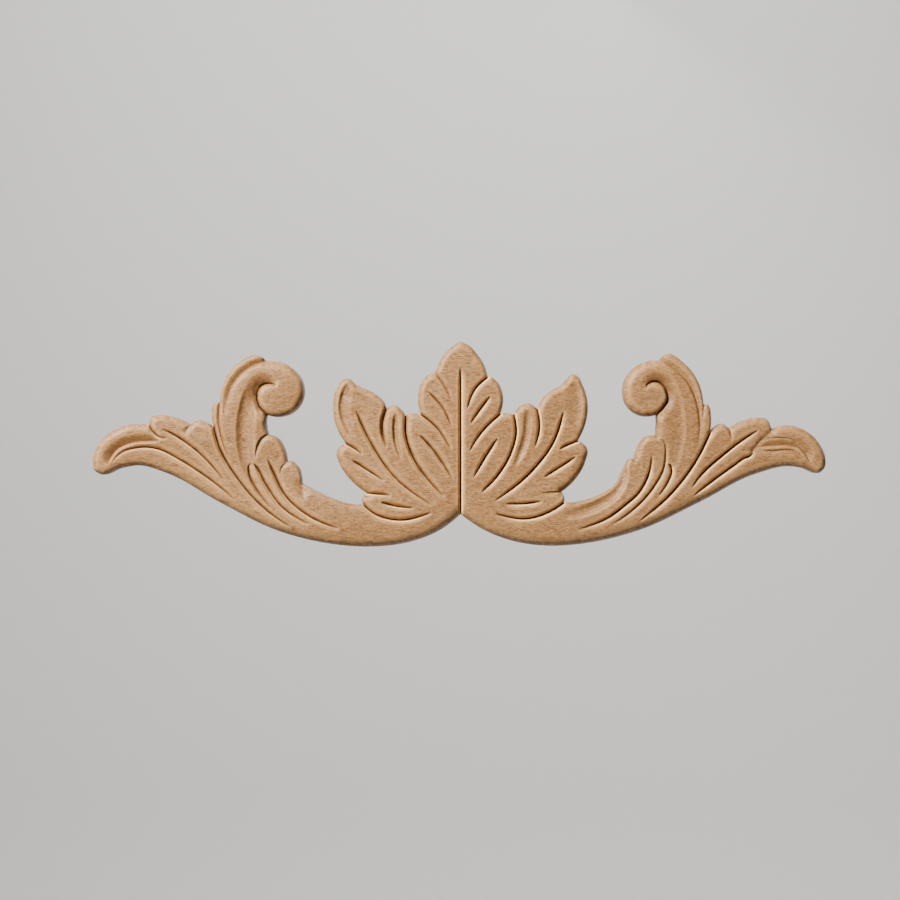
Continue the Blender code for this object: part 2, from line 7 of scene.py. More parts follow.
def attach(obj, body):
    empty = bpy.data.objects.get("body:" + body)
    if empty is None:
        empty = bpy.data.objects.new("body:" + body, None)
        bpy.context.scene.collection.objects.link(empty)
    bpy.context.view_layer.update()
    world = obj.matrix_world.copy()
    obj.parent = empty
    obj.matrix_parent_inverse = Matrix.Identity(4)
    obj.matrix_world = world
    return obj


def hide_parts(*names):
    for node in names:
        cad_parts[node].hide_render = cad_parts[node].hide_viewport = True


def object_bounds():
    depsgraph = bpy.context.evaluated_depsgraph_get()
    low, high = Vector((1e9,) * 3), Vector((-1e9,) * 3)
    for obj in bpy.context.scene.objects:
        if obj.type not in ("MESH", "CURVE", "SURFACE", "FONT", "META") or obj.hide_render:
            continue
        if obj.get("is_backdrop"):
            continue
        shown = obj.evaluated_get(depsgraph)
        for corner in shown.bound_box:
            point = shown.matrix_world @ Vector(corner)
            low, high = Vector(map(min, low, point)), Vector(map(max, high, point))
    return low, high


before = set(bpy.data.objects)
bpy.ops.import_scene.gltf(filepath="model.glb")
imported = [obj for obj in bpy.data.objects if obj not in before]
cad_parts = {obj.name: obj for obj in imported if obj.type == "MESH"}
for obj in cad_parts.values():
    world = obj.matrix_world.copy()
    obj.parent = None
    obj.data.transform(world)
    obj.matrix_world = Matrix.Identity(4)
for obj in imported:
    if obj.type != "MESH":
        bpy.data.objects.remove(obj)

# Carved leaf applique: fine relief over the CAD solid, bare pale wood, plain stage.
# The form is the same squared-sheet drawing as the solid's, worked out on a finer mesh.
sizes = {"before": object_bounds()}
low, high = sizes["before"]
width = high[0] - low[0]
height = high[2] - low[2]
thickness = high[1] - low[1]
print("frame read", round(width, 4), round(height, 4), round(thickness, 4))

across = width / 731.0     # metres in one square of the drawing sheet along X
up = height / 204.5        # and along Z

# depths in metres that the tables of strokes share
deep = 0.0029              # grooves that part the leaves
vein = 0.0027              # short veins
light = 0.0016             # creases at the notches
hollow = 0.0019            # broad gouged hollows

# Swells of the body: middle (out, up), radii (out, up) in squares, share of the height above ground
swells = [
    ((0, 10), (90, 80), 0.95),
    ((178, 52), (34, 34), 0.75),
    ((110, -72), (110, 34), 0.55),
    ((222, 30), (30, 60), 0.35),
    ((300, 8), (70, 26), 0.30),
]

# Rim curves from the top of the middle leaf round to the bottom: name, reach of the rounding at the
# start and end in squares, and the points (out, up) that the curve runs through. The corner points
# between two curves are the notches.
leftRim = [
    ("top leaf", 6, 6, [(0, 102), (8.5, 96.5), (15.5, 90), (22.5, 78.5), (25.5, 70.5)]),
    ("upper lobe", 6, 6, [(25.5, 70.5), (30.5, 69.5), (36.5, 64.5), (42.5, 46.5), (39.5, 29)]),
    ("middle lobe", 5, 5, [(39.5, 29), (44.5, 30.2), (51.5, 29.7), (54.7, 28)]),
    ("strand lobe", 6, 6, [(54.7, 28), (58, 33.5), (64.5, 38.5), (73.7, 35)]),
    ("side leaf", 6, 6, [(73.7, 35), (76, 41.5), (83.5, 49), (103.5, 59), (112.5, 65.2), (118, 63),
                         (123.5, 55), (126.8, 37.5), (124, 18), (114, 0)]),
    ("lower lobe", 6, 10, [(114, 0), (120, -2.5), (123.3, -8.5), (121, -18.5), (107, -38.5),
                           (93.5, -49)]),
    ("bottom lobe", 5, 5, [(93.5, -49), (98.2, -55), (96.5, -60.8)]),
    ("arm top", 4, 4, [(96.5, -60.8), (110.5, -59.7), (130.5, -53), (158, -39.5)]),
    ("small lobe", 4, 4, [(158, -39.5), (163.7, -20.5), (168.5, -17.3), (172.7, -17.5)]),
    ("inner lobe", 6, 6, [(172.7, -17.5), (174.5, -7.5), (184.5, 7.5), (191.7, 9.5)]),
    ("stem", 7, 7, [(191.7, 9.5), (193.7, 20.5), (193, 29)]),
    ("volute", 9, 9, [(193, 29), (186.5, 27.2), (177.5, 27.3), (166.5, 31.5), (159, 40), (155.7, 51.5),
                      (158, 63.5), (165.5, 73.5), (176.5, 80.7), (187.5, 82.5), (194.7, 82.5)]),
    ("back strand", 4, 4, [(194.7, 82.5), (197, 86), (201.5, 87.7), (221.5, 79.8), (236.5, 58.5),
                           (239.5, 41.2)]),
    ("side strand", 4, 4, [(239.5, 41.2), (243, 41.7), (246, 39), (247.5, 31.5), (245.5, 16)]),
    ("upper blade", 6, 6, [(245.5, 16), (252.5, 21), (260.5, 23.7), (268.7, 19.3)]),
    ("outer blade", 6, 6, [(268.7, 19.3), (288.5, 27.3), (299.5, 28.7), (307.5, 26.5), (309.9, 19.2)]),
    ("wing", 6, 12, [(309.9, 19.2), (333.5, 18.2), (348.5, 11.5), (361.5, -1), (366.5, -18.5), (365, -26),
                     (358.5, -30.2), (337.5, -23.8), (320.5, -21.5), (292.5, -29.3), (240.5, -58),
                     (180.5, -87), (120.5, -100.7), (88.5, -102.3), (55.5, -98.8), (17.5, -84),
                     (0, -70)]),
]
rightRim = [
    ("top leaf", 6, 6, [(0, 102), (8.5, 98), (15.5, 90.7), (24, 77.5), (27.2, 66.5)]),
    ("upper lobe", 6, 6, [(27.2, 66.5), (30.5, 66.7), (35.5, 63), (42.5, 45.5), (39.5, 29.7)]),
    ("middle lobe", 5, 5, [(39.5, 29.7), (47, 30.8), (53.3, 29.2)]),
    ("strand lobe", 6, 6, [(53.3, 29.2), (60.5, 38.5), (66.5, 40.7), (76.3, 34.8)]),
    ("side leaf", 6, 6, [(76.3, 34.8), (83.5, 47.5), (102.5, 60.5), (112, 69.3), (116.5, 67.5),
                         (121.5, 59), (126.8, 39.5), (124, 18.5), (117, 3.2)]),
    ("lower lobe", 6, 10, [(117, 3.2), (124, -1), (126.7, -5.5), (125, -16), (112, -38), (100.5, -47.7)]),
    ("bottom lobe", 5, 5, [(100.5, -47.7), (103.4, -54), (102.5, -58.5)]),
    ("arm top", 4, 4, [(102.5, -58.5), (114.5, -58), (134.5, -52.5), (154.5, -40.5), (163, -24),
                       (169.5, -14.3), (173.3, -14.7)]),
    ("inner lobe", 6, 6, [(173.3, -14.7), (175.5, -6.5), (185.5, 7.7), (194.8, 8.5)]),
    ("stem", 6, 6, [(194.8, 8.5), (195.7, 20.5), (195.5, 29)]),
    ("volute", 9, 9, [(195.5, 29), (189.5, 27.5), (181.5, 27.7), (171.5, 32.2), (164.5, 40.5),
                      (161.8, 52.5), (163.8, 63.5), (170.5, 73.5), (180.5, 80.5), (190.5, 83.3),
                      (199.5, 83.2)]),
    ("back strand", 4, 4, [(199.5, 83.2), (201, 86.5), (205, 89.3), (222.5, 80.3), (237.5, 59.5),
                           (242, 38.2)]),
    ("side strand", 4, 4, [(242, 38.2), (245, 39.7), (247.8, 36.5), (249.2, 28.5), (248, 10.5)]),
    ("upper blade", 6, 6, [(248, 10.5), (252.5, 16), (259.5, 20.3), (267.5, 15)]),
    ("outer blade", 6, 6, [(267.5, 15), (283.5, 24), (294.5, 26.3), (305, 24.5), (309.8, 14)]),
    ("wing", 6, 12, [(309.8, 14), (316.5, 17.5), (327.5, 18.7), (342.5, 14), (356, 2.5), (363.8, -14.5),
                     (363, -23.5), (358, -28.5), (340.5, -23.8), (327.5, -22.3), (294.5, -29.8),
                     (239.5, -57.5), (179.5, -85.5), (119.5, -99.7), (88.5, -101.5), (55.5, -97.5),
                     (24.5, -86.2), (0, -70)]),
]

# Strokes: depth, reach to the left and to the right of the path in squares, share of the path over which
# the stroke deepens at its start and dies out at its end, and the points (out, up) of the path.
leftCuts = {
    "upper notch": (0.7 * light, 2.2, 2.6, 0, 0.6, [(25.5, 70.5), (15.5, 56.5), (8.5, 42.5)]),
    "upper vein": (0.7 * vein, 1.9, 2.3, 0.3, 0.6, [(32.5, 52), (15.5, 32), (8.5, 16)]),
    "middle notch": (vein, 2.2, 2.6, 0, 0.6, [(39.5, 29), (23.5, 15.5), (9, -6.5)]),
    "middle vein": (vein, 2.2, 2.6, 0.25, 0.45, [(41, 9.3), (26.5, -7.2), (7.5, -35.7)]),
    "strand notch": (deep, 2.4, 3.2, 0, 0.25, [(54.7, 28), (54.8, 10.5), (47.5, -12.5), (34.5, -33),
                                               (16.5, -52.5)]),
    "side notch": (0.8 * deep, 3.6, 2.4, 0, 0.5, [(73.7, 35), (77.7, 18.5), (73, -4.5)]),
    "side midrib": (0.9 * deep, 2.5, 2.8, 0.2, 0.35, [(104.5, 35), (90.5, 3.5), (63.5, -35.5),
                                                      (27.5, -61.5)]),
    "lower notch": (vein, 2.5, 2.8, 0, 0.5, [(114, 0), (108.5, -3), (97.5, -10.5)]),
    "lower vein": (vein, 2.2, 2.6, 0.35, 0.4, [(108.3, -16), (93.2, -26), (76.2, -36.5)]),
    "bottom notch": (vein, 2.2, 2.6, 0, 0.5, [(93.5, -49), (81.5, -50), (69.5, -51)]),
    "bottom vein": (vein, 2.2, 2.6, 0.3, 0.45, [(79.3, -58), (63.3, -62.2), (46.4, -63.7)]),
    "arm notch": (deep, 2.5, 2.8, 0, 0.3, [(96.5, -60.8), (84, -70.5), (63.5, -75.7), (28.8, -68.3)]),
    "small lobe step": (0.25 * vein, 2, 2.6, 0, 0.8, [(171.5, -17.5), (177.5, -23.4), (178.9, -28.5),
                                                      (177.5, -34)]),
    "small lobe foot": (0.75 * light, 8, 10, 0, 0.9, [(158, -39.5), (157, -47), (155.3, -56)]),
    "inner vein": (deep, 2.5, 2.8, 0.25, 0.35, [(192.5, -13), (186.9, -26.3), (174, -51.9),
                                                (150.4, -72.2), (119.7, -84.6)]),
    "bud right": (vein, 2.5, 2.8, 0.15, 0.4, [(206.6, -18.6), (203, -23), (194, -39.7), (177.2, -63.3),
                                              (149.2, -80.6)]),
    "bud left": (0.8 * vein, 2, 3, 0.15, 0.6, [(206.6, -18.6), (210.6, -21.3), (210.6, -29),
                                               (205.8, -40.5), (193.8, -57.6), (186, -66)]),
    "inner step": (0.45 * vein, 1.5, 3.5, 0, 0.6, [(191.7, 9.5), (197.3, 6), (202, -2), (203.4, -15)]),
    "main groove": (deep, 2.5, 2.8, 0, 0.3, [(245.5, 16), (240.5, -2), (222, -34.6), (194, -65.5),
                                             (166, -84.5)]),
    "blade vein": (deep, 2.5, 2.8, 0.3, 0.35, [(297.5, 15.5), (289, 11), (265.5, -4.8), (234.8, -36.5)]),
    "blade notch": (0.6 * light, 5, 5, 0, 0.8, [(268.7, 19.3), (271.5, 15), (275, 10)]),
    "wing groove": (0.9 * deep, 2.4, 2.6, 0.5, 0.25, [(346.5, -20), (342.5, -13.5), (334.5, -7.3),
                                                      (324, -4.4), (310.5, -3.5), (302, -5),
                                                      (278.5, -16.5), (252.5, -33.5), (222, -57)]),
    "blade step": (0.8 * vein, 2.4, 2.6, 0, 0.7, [(309.9, 19.2), (306.6, 12.6), (301.1, 7.6),
                                                  (291.2, 5.3)]),
    "wing cove": (0.6 * deep, 8.5, 1.6, 0.2, 0.15, [(298, 3), (310, 3.4), (319, 3), (331, 0.4),
                                                    (341.3, -4.7), (348, -12.4), (352, -21)]),
    "back crease": (0.43 * vein, 6, 3, 0, 0.5, [(194.7, 82.5), (211.5, 75.3), (225.5, 61.5),
                                                (232.7, 43.5), (234, 21.5)]),
    "side crease": (0.55 * light, 2.2, 2.6, 0, 0.5, [(239.5, 41.2), (240.5, 25.5), (227.5, -21.5)]),
    "eye": (1.05 * vein, 1.4, 3, 0.2, 0, [(182, 58), (191, 60.3), (197.5, 58.3), (201.6, 53.2),
                                          (202.7, 46.5), (201, 39), (193, 29)]),
}
rightCuts = {
    "upper notch": (vein, 2.9, 2, 0, 0.5, [(27.2, 66.5), (14.5, 54.5), (7, 34.5)]),
    "upper vein": (vein, 2.9, 2, 0.3, 0.45, [(30, 47.5), (19, 33.5), (10, 20)]),
    "middle notch": (deep, 2.9, 2, 0, 0.5, [(39.5, 29.7), (19.8, 10.2), (8.7, -8)]),
    "middle vein": (deep, 2.9, 2, 0.3, 0.35, [(37, 5.5), (25.5, -11.5), (13, -33.5)]),
    "strand notch": (deep, 2.9, 2, 0, 0.2, [(53.3, 29.2), (55.3, 11.5), (49.4, -10.4), (37.3, -30.7),
                                            (20.7, -48.2)]),
    "side notch": (deep, 2.9, 2, 0, 0.4, [(76.3, 34.8), (78.5, 17.5), (74, -3)]),
    "side midrib": (deep, 2.9, 2, 0.15, 0.25, [(102.5, 32.3), (93, 3), (69.4, -28.4), (33.6, -57)]),
    "lower notch": (vein, 2.9, 2, 0, 0.45, [(117, 3.2), (106.5, -1), (98, -5.5)]),
    "lower vein": (vein, 2.9, 2, 0.3, 0.35, [(115, -12.7), (100, -22.2), (83, -33.2)]),
    "bottom notch": (0.6 * light, 2.9, 2, 0, 0.6, [(100.5, -47.7), (79.5, -49)]),
    "bottom vein": (vein, 2.9, 2, 0.3, 0.4, [(80.5, -57), (63.5, -59.2), (44.5, -59.5)]),
    "arm notch": (deep, 2.9, 2, 0, 0.4, [(102.5, -58.5), (87, -68), (67.5, -74), (33.7, -69)]),
    "small lobe step": (0.18 * light, 2, 2.4, 0, 0.6, [(173.3, -14.7), (177, -18), (180, -25.5)]),
    "inner vein": (deep, 2.9, 2, 0.25, 0.35, [(190, -11), (189.5, -21), (185.6, -34.5), (177, -49),
                                              (163.4, -61.1), (149.6, -71.6), (117.2, -85)]),
    "bud left": (0.7 * vein, 2.6, 2, 0.5, 0.35, [(194.8, 8.5), (202.5, 1), (204, -11.6), (202.8, -22.5),
                                                 (191.4, -44.3), (170.5, -66.5), (150, -80.5)]),
    "bud right": (0.9 * vein, 2.6, 2, 0.2, 0.5, [(205.8, -20.3), (208.8, -21.5), (210.2, -28),
                                                 (207.6, -35.6), (196.8, -52)]),
    "main groove": (deep, 2.9, 2, 0, 0.3, [(248, 10.5), (234.5, -16.5), (210.5, -48.5), (177, -77.5)]),
    "blade vein": (deep, 2.9, 2, 0.25, 0.3, [(296.5, 14), (274, -0.8), (256.5, -15), (244, -26),
                                             (229.5, -44)]),
    "blade notch": (0.7 * light, 2.9, 2.4, 0, 0.6, [(267.5, 15), (269.5, 4.5)]),
    "wing groove": (0.9 * deep, 2.9, 2, 0.08, 0.3, [(291, -8.5), (288.3, -11.6), (282, -14.3),
                                                    (273.2, -20.6), (251, -36.7), (231, -52.2)]),
    "blade step": (0.3 * vein, 9, 4.5, 0.1, 0.1, [(309.8, 14), (307, 11), (302.8, 7.2), (298.5, 3),
                                                  (294.2, -2.2), (290.8, -6), (289.5, -10)]),
    "wing cove": (0.43 * deep, 8.5, 1.8, 0.3, 0.15, [(290.8, -4.8), (299.4, -2.5), (311.3, -1.3),
                                                     (325, -0.8), (335.3, -3), (342.1, -8.2),
                                                     (347.3, -18.4)]),
    "back crease": (0.35 * vein, 5, 3, 0, 0.5, [(199.5, 83.2), (214.5, 73.5), (228, 58), (236.3, 36),
                                                (238, 17), (235, -4)]),
    "side crease": (0.4 * light, 2.5, 2.5, 0, 0.6, [(242, 38.2), (240.3, 22.5)]),
    "eye": (1.05 * vein, 1.4, 3, 0.2, 0, [(184.5, 54.5), (185, 58.6), (189, 61.5), (195, 62),
                                          (201.5, 58.5), (205.8, 51), (206.3, 43.5), (202, 36),
                                          (195.5, 29)]),
    "cove edge": (0.22 * vein, 1, 4, 0.15, 0.3, [(299.3, 3.8), (307.9, 6.1), (325, 5.5), (335.2, 2.1),
                                                 (342.1, -3.9), (348.9, -12.4)]),
    "wing bead": (0.4 * light, 2.4, 3.5, 0.25, 0.4, [(297.7, -6), (307.9, -7.1), (320, -6.5), (331, -7.2),
                                                     (338, -12.5), (342, -19)]),
}
# Broad hollows, written like the cuts but with a round bottom
leftHollows = {
    "strand flute": (0.7 * hollow, 3, 4.5, 0.25, 0.5, [(64.5, 30.5), (64.5, 5.5), (58.6, -16.5)]),
    "side hollow": (0.55 * hollow, 4, 9, 0.25, 0.5, [(111, 61.5), (117.7, 38.5), (107.5, 5.5)]),
    "stem hollow": (0.9 * hollow, 10.5, 11, 0.25, 0.5, [(201, 60), (207.5, 50), (210, 38), (213, 24),
                                                        (213.5, 2), (212, -14), (207, -36)]),
    "volute hollow": (1.45 * hollow, 14, 3, 0.4, 0.45, leftCuts["eye"][-1]),
}
rightHollows = {
    "strand flute": (0.5 * hollow, 4, 5.5, 0.2, 0.4, [(66.2, 33.5), (65.2, 10), (53, -23.5)]),
    "side hollow": (0.3 * hollow, 5, 12, 0.25, 0.5, [(112.5, 63.5), (116.5, 38.5), (111.5, 13.5)]),
    "arm hollow": (0.6 * hollow, 5.5, 10, 0.1, 0.45, [(162, -20), (161.6, -27), (159.5, -38),
                                                      (152, -50.6), (141, -58.5), (123, -66.7),
                                                      (98, -72.5)]),
    "stem hollow": (0.25 * hollow, 5, 14, 0.3, 0.4, [(203, 63), (211.5, 54.5), (215.5, 42), (217.5, 28),
                                                     (218, 10), (215.5, -10), (211, -26)]),
    "volute hollow": (1.2 * hollow, 12, 3, 0.4, 0.6, rightCuts["eye"][-1]),
}
midrib = [(0, 76), (0, 40), (0, -70)]

# how the strokes are cut; reaches are in squares
carving = {
    "ground": 0.0088,              # thickness under the swells, metres
    "rounding": 0.85,              # fall of a rounded rim, as a share of its reach
    "sharpness": 1.25,             # 1 is a straight V, more is steeper towards the bottom
    "flank": 0.34,                 # share of a cut that spreads as an easy slope on its right
    "flankReach": 2.6,             # how many times the cut's own reach that slope goes
    "taper": 0.5,                  # width of a stroke at its faded ends, as a share of its full width
    "pathStep": 2.0,               # squares between the points worked out along a path
    "midribCut": 0.0027,           # depth of the groove down the middle leaf, metres
    "midribReach": {"left": 2.4, "right": 3.2},
    "midribFade": 0.12,            # share of its length over which it deepens
    # the two powers of a hollow's outer side: soft crest, crisp arris, cove
    "outerBend": {"left": (3, 1.5), "right": (2, 1), "volute hollow": (1, 1.4)},
    "belowEye": ("stem hollow", "volute hollow"),    # hollows that stop at the raised eye
    "eyeStep": 2.2,                # squares over which they stop
}

# painted shade in the cuts and in the cove round the eye, and painted highlights on lit walls, which are
# colour alone
paintedLight = {
    "reach": 1.0,                  # squares over which the painted shade of a cut spreads to the right, its shaded side
    "leftShare": 0.5,              # and to the left, as a share of that
    "cove": 1.1,                   # how dark the painted shadow in the cove round the eye is
    "midrib": 0.62,                # how dark the midrib's painted shade is beside the other cuts
    "paleReach": (1.8, 3.2),       # reaches, on the left of the path, of the walls that get a painted highlight
    "palePlace": 0.5,              # middle of the painted highlight, as a share of the reach
    "paleWidth": 0.3,
}


def smoothCurve(points, spacing):
    # cubic through the points (Hermite); the tangent at a point weighs its two chords by nearness
    p = np.array(points, float)
    chords = np.diff(p, axis=0)
    lengths = np.hypot(*chords.T)[:, None]
    speeds = chords / lengths
    inner = (speeds[:-1] * lengths[1:] + speeds[1:] * lengths[:-1]) / (lengths[:-1] + lengths[1:])
    first = 1.5 * speeds[:1] - 0.5 * (inner[:1] if len(inner) else speeds[:1])
    last = 1.5 * speeds[-1:] - 0.5 * (inner[-1:] if len(inner) else speeds[-1:])
    tangents = np.vstack([first, inner, last])
    spans = []
    for a, b, ta, tb, length in zip(p[:-1], p[1:], tangents[:-1], tangents[1:], lengths[:, 0]):
        count = max(2, round(length / spacing))
        t = np.arange(count)[:, None] / count
        spans.append(a * (1 + 2 * t) * (1 - t) ** 2 + b * (3 - 2 * t) * t**2
                     + length * (ta * t * (1 - t) ** 2 - tb * (1 - t) * t**2))
    return np.vstack(spans + [p[-1:]])


def alongAndAcross(line, spots):
    # gap to the nearest span of the line, its side (above 0 is left) and the share of the line's length
    # there
    best = np.full(len(spots), np.inf)
    side = np.zeros(len(spots))
    place = np.zeros(len(spots))
    lengths = np.hypot(*np.diff(line, axis=0).T)
    starts = np.concatenate([[0], np.cumsum(lengths)])
    for a, b, length, start in zip(line[:-1], line[1:], lengths, starts):
        along = (b - a) / length
        offset = spots - a
        share = np.clip(offset @ along, 0, length)
        gap = np.hypot(*(offset - share[:, None] * along).T)
        nearer = gap < best
        best[nearer] = gap[nearer]
        side[nearer] = (along[0] * offset[:, 1] - along[1] * offset[:, 0])[nearer]
        place[nearer] = ((start + share) / starts[-1])[nearer]
    return best, side, place


def near(line, spots, reach):
    # True for the spots in the line's box widened by the reach
    return ((spots > line.min(axis=0) - reach) & (spots < line.max(axis=0) + reach)).all(axis=1)


def leftOf(points, spots):
    # 1 on the left of the curve, falling to 0 over a soft step on its right
    gap, side, _ = alongAndAcross(smoothCurve(points, carving["pathStep"]), spots)
    share = np.clip(1 + np.where(side > 0, gap, -gap) / carving["eyeStep"], 0, 1)
    return share**2 * (3 - 2 * share)


def strokeDepth(spots, row, bend):
    # cut: depth * (1 - gap/reach)^sharpness, and on the right of the path a share flank of it is
    # (1 - gap/wide)^2 instead; hollow: depth * cos^2, but (1 - (gap/reach)^a)^b on the left;
    # also returns the painted shade and the painted highlight that the stroke leaves at each spot
    depth, left, right, fadeIn, fadeOut, points = row
    line = smoothCurve(points, carving["pathStep"])
    widest = max(left, right) * (1 if bend else carving["flankReach"])
    out, paintedShade, wallHighlight = np.zeros((3, len(spots)))
    close = near(line, spots, widest)
    gap, side, place = alongAndAcross(line, spots[close])
    onLeft = side > 0
    fade = np.ones(len(gap))
    if fadeIn:
        fade *= np.sin(np.pi / 2 * np.clip(place / fadeIn, 0, 1))
    if fadeOut:
        fade *= np.sin(np.pi / 2 * np.clip((1 - place) / fadeOut, 0, 1))
    reach = np.where(onLeft, left, right) * (carving["taper"] + (1 - carving["taper"]) * fade)
    if bend:
        inside = np.clip(gap / reach, 0, 1)
        shape = np.where(onLeft, (1 - inside ** bend[0]) ** bend[1], np.cos(np.pi / 2 * inside) ** 2)
        out[close] = depth * shape * fade
        if bend == carving["outerBend"]["volute hollow"]:
            # painted shadow of the raised eye in the cove round it
            paintedShade[close] = paintedLight["cove"] * shape * fade * depth / deep
        return out, paintedShade, wallHighlight
    shape = np.clip(1 - gap / reach, 0, 1) ** carving["sharpness"]
    easy = np.clip(1 - gap / (reach * carving["flankReach"]), 0, 1) ** 2
    shape = np.where(onLeft, shape, shape + carving["flank"] * (easy - shape))
    out[close] = depth * shape * fade
    # painted shade along the bottom of the cut, spread wider to the right, its shaded side
    spread = np.where(onLeft, paintedLight["leftShare"], 1.0) * paintedLight["reach"]
    paintedShade[close] = fade * np.exp(-(gap / spread) ** 2) * min(depth / deep, 1)
    # painted highlight on the lit wall, left of the path
    narrow, broad = paintedLight["paleReach"]
    if narrow <= left <= broad:
        fromMiddle = (gap / reach - paintedLight["palePlace"]) / paintedLight["paleWidth"]
        wallHighlight[close] = fade * onLeft * np.exp(-(fromMiddle**2)) * min(depth / vein, 1)
    return out, paintedShade, wallHighlight


def rimDepth(spots, reachStart, reachEnd, points):
    # quarter round: rounding * reach * (1 - sqrt(1 - (1 - gap/reach)^2))
    line = smoothCurve(points, carving["pathStep"])
    reach = max(reachStart, reachEnd)
    out = np.zeros(len(spots))
    close = near(line, spots, reach)
    gap, _, place = alongAndAcross(line, spots[close])
    reach = reachStart + (reachEnd - reachStart) * np.clip(2 * place, 0, 1)
    inward = np.clip(1 - gap / reach, 0, 1)
    out[close] = carving["rounding"] * reach * across * (1 - np.sqrt(1 - inward**2))
    return out


def relief(spots):
    # body less the fourth root of the sum of all strokes' fourth powers; body is ground plus the rest of
    # the thickness * tanh of the bell-shaped swells; also returns each spot's painted shade and painted
    # highlight
    body, total, paintedShade, pale = np.zeros((4, len(spots)))
    halves = [("left", spots[:, 0] <= 0, -1, leftRim, leftCuts, leftHollows),
              ("right", spots[:, 0] > 0, 1, rightRim, rightCuts, rightHollows)]
    for half, mask, sign, rims, cuts, hollows in halves:
        own = spots[mask] * (sign, 1)
        bells = [share * np.exp(-(((own - middle) / radii) ** 2).sum(axis=1))
                 for middle, radii, share in swells]
        part, dark, paintedHighlight = np.zeros((3, len(own)))
        for _, start, end, points in rims:
            part += rimDepth(own, start, end, points) ** 4
        reach = carving["midribReach"][half]
        rib = (carving["midribCut"], reach, reach, carving["midribFade"], 0, midrib)
        for row in list(cuts.values()) + [rib]:
            depth, strokeShade, wallHighlight = strokeDepth(own, row, None)
            # the midrib gets less painted shade, and its painted highlight only on the right half
            if row is rib:
                strokeShade, wallHighlight = strokeShade * paintedLight["midrib"], wallHighlight * (half == "right")
            part += depth**4
            dark = np.maximum(dark, strokeShade)
            paintedHighlight = np.maximum(paintedHighlight, wallHighlight)
        for name, row in hollows.items():
            bend = carving["outerBend"].get(name, carving["outerBend"][half])
            depth, strokeShade, _ = strokeDepth(own, row, bend)
            if name in carving["belowEye"]:
                outsideEye = leftOf(cuts["eye"][-1], own)
                depth *= outsideEye
                strokeShade *= outsideEye
            part += depth**4
            dark = np.maximum(dark, strokeShade)
        body[mask] = carving["ground"] + (thickness - carving["ground"]) * np.tanh(sum(bells))
        total[mask] = part
        paintedShade[mask] = dark
        pale[mask] = paintedHighlight
    tall = body - total**0.25
    return tall * thickness / tall.max(), paintedShade, pale


def outline(spacing):
    # the rim curves of both halves as one ring, the left half mirrored
    left = [smoothCurve(row[3], spacing)[:-1] for row in leftRim]
    right = [smoothCurve(row[3], spacing)[:-1] for row in rightRim]
    right = np.vstack(right + [[rightRim[-1][3][-1]]])[:0:-1]
    return np.vstack([np.vstack(left) * (-1, 1), right])


# the front's points, with gaps in squares
surface = {
    "pitch": 0.00052,                  # fineness of the surface, metres
    "rows": (0.6, 1.2, 2.0, 3.0),      # gaps of the rows of points beside each line
    "rowGap": 0.5,                     # least gap between two of those points
    "gridGap": 0.65,                   # least gap from them to the even grid, as a share of the pitch
}


def clearOf(spots, fixed, gap):
    # spots farther than gap from every fixed point, found through cells one gap wide
    low = np.minimum(spots.min(axis=0), fixed.min(axis=0)) - 2 * gap
    cell = np.floor((fixed - low) / gap).astype(int)
    own = np.floor((spots - low) / gap).astype(int)
    table = np.full(np.maximum(cell.max(axis=0), own.max(axis=0)) + 3, -1)
    keep = np.ones(len(spots), bool)
    for order in (slice(None), slice(None, None, -1)):
        table[tuple(cell[order].T)] = np.arange(len(fixed))[order]
        for i in (-1, 0, 1):
            for j in (-1, 0, 1):
                index = table[own[:, 0] + i, own[:, 1] + j]
                keep &= (index < 0) | (np.hypot(*(spots - fixed[index]).T) > gap)
    return spots[keep]


def beside(line, gap):
    # the line's points moved sideways by gap, left and then right
    along = np.gradient(line, axis=0)
    sideways = np.column_stack([-along[:, 1], along[:, 0]]) / np.hypot(*along.T)[:, None]
    return line + gap * sideways, line - gap * sideways


def frontMesh(step):
    # outline and groove lines as edges, rows of points beside them, an even grid between, joined by a
    # constrained Delaunay
    ring = outline(step)
    lines = [smoothCurve(row[-1], step) * (-1, 1) for row in leftCuts.values()]
    lines += [smoothCurve(row[-1], step) for row in rightCuts.values()] + [smoothCurve(midrib, step)]
    starts = len(ring) + np.cumsum([0] + [len(line) for line in lines])
    edges = [(k + i, k + i + 1) for k, line in zip(starts, lines) for i in range(len(line) - 1)]
    points = np.vstack([ring] + lines)
    for gap in surface["rows"]:
        for line in [ring] + lines:
            for row in beside(line, gap):
                points = np.vstack([points, clearOf(row, points, surface["rowGap"])])
    low, high = ring.min(axis=0), ring.max(axis=0)
    counts = np.ceil((high - low) / step).astype(int)
    x, z = np.meshgrid(*(np.linspace(a, b, n) for a, b, n in zip(low, high, counts)))
    x[1::2] += step / 2
    grid = np.column_stack([x.ravel(), z.ravel()])
    points = np.vstack([points, clearOf(grid, points, surface["gridGap"] * step)])
    points = [Vector(p) for p in points.tolist()]
    spots, _, faces, _, _, _ = delaunay_2d_cdt(points, edges, [list(range(len(ring)))], 1, 1e-4)
    spots, faces = np.array(spots), np.array(faces)
    used, index = np.unique(faces, return_inverse=True)
    return spots[used], index.reshape(faces.shape)


def wallRing(faces):
    # the open edges of the triangles, as one ring of point numbers in order
    ends = np.concatenate([faces[:, [0, 1]], faces[:, [1, 2]], faces[:, [2, 0]]])
    size = faces.max() + 1
    lone = ends[~np.isin(ends[:, 0] * size + ends[:, 1], ends[:, 1] * size + ends[:, 0])]
    following = np.zeros(size, int)
    following[lone[:, 0]] = lone[:, 1]
    ring = [lone[0, 0]]
    while len(ring) < len(lone):
        ring.append(following[ring[-1]])
    return np.array(ring)


